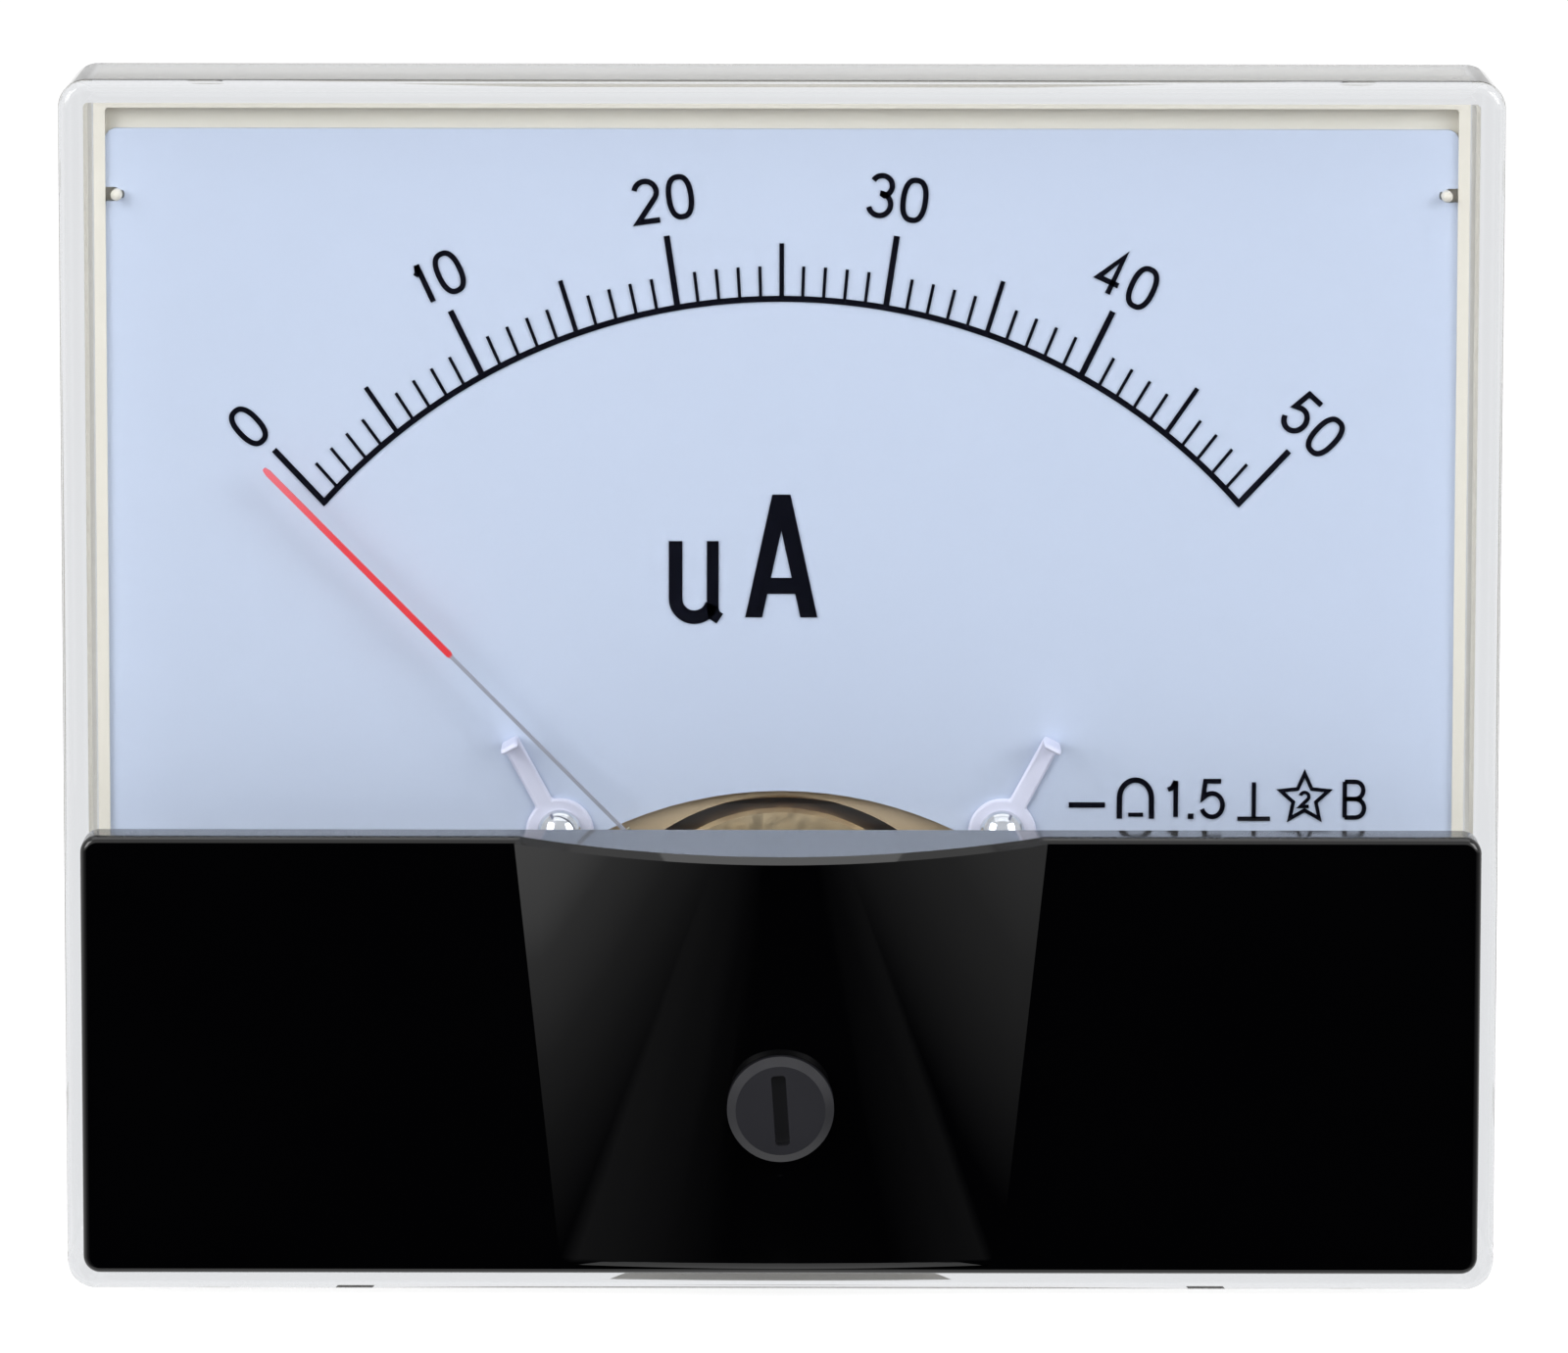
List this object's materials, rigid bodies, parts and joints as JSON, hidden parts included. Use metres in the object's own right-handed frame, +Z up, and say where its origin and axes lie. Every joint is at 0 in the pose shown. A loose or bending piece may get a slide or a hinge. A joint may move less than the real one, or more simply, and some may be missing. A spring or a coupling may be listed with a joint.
{
  "type": "analog panel meter",
  "caption": "Moving-coil panel meter with a clear box cover, printed arc scale, slim pointer, black lower mask with a bulge and slotted zero adjuster, and a round rear barrel.",
  "frame": {"origin": "on the rear barrel's axis, in the plane where the flange meets the panel", "axes": "+X to the right as the dial is read, +Y back along the barrel's axis into the panel, +Z up the dial"},
  "size_m": [0.1, 0.0694, 0.085],
  "materials": {
    "clear_plastic": "clear polished styrene",
    "black_plastic": "glossy black moulding",
    "ivory_plastic": "satin ivory moulding",
    "dial_paint": "satin pale blue paint",
    "print_ink": "flat blue-black ink",
    "white_paint": "satin white paint",
    "nickel_steel": "bright nickel plate",
    "khaki_plastic": "matt khaki moulding",
    "yellow_iron": "yellow passivated soft iron",
    "magnet_alloy": "ground magnet alloy",
    "brass": "turned brass",
    "pale_brass": "pale stamped brass",
    "tinned_brass": "tinned brass",
    "aluminium": "blank aluminium",
    "bronze": "spring bronze",
    "copper_wire": "enamelled copper wire",
    "ruby": "polished red jewel",
    "dark_plastic": "satin charcoal moulding",
    "pointer_paint": "satin red paint over bare aluminium"
  },
  "bodies": {
    "case": {"front_cover": "clear_plastic", "mask": "black_plastic", "base": "ivory_plastic", "dial_plate": "dial_paint", "scale_marks": "print_ink", "left_pointer_stop": "white_paint", "right_pointer_stop": "white_paint", "dial_screws": "nickel_steel", "movement_frame": "khaki_plastic", "yoke_ring": "yellow_iron", "yoke_pins": "nickel_steel", "magnet_core": "magnet_alloy", "core_spacers": "brass", "front_bridge": "aluminium", "bridge_posts": "brass", "bridge_screws": "nickel_steel", "front_jewel_screw": "brass", "front_jewel": "ruby", "jewel_locknut": "brass", "rear_bridge": "aluminium", "rear_bridge_screws": "nickel_steel", "rear_jewel_screw": "brass", "rear_jewel": "ruby", "rear_hairspring": "bronze", "movement_screws": "nickel_steel", "cover_screws": "nickel_steel", "panel_studs": "nickel_steel", "terminal_studs": "brass", "solder_tags": "tinned_brass", "terminal_nuts": "brass", "terminal_washers": "brass", "terminal_spring_washers": "nickel_steel"},
    "moving_coil": {"coil_former": "aluminium", "coil_winding": "copper_wire", "front_pivot": "brass", "rear_pivot": "brass", "balance_cross": "brass", "balance_weights": "nickel_steel", "pointer_socket": "pale_brass", "pointer": "pointer_paint"},
    "zero_adjuster": {"zero_adjuster": "dark_plastic", "adjuster_washer": "nickel_steel"},
    "zero_lever": {"zero_lever": "brass", "front_hairspring": "bronze"}
  },
  "joints": [
    {"name": "pointer_swing", "type": "hinge", "parent": "case", "child": "moving_coil", "pos_m": [0, 0, -0.0221], "axis": [0, 1, 0], "range_deg": [-1, 90.2], "stiffness_Nm_per_rad": 0.00002},
    {"name": "zero_adjuster_turn", "type": "hinge", "parent": "case", "child": "zero_adjuster", "pos_m": [0, -0.02, -0.0278], "axis": [0, 1, 0], "range_deg": [-60, 60]},
    {"name": "zero_lever_swing", "type": "hinge", "parent": "case", "child": "zero_lever", "pos_m": [0, -0.0098, -0.0221], "axis": [0, 1, 0], "range_deg": [-9.5, 9.5]}
  ],
  "couplings": [
    {"joint": "zero_lever_swing", "follows": "zero_adjuster_turn", "ratio": 0.15}
  ]
}
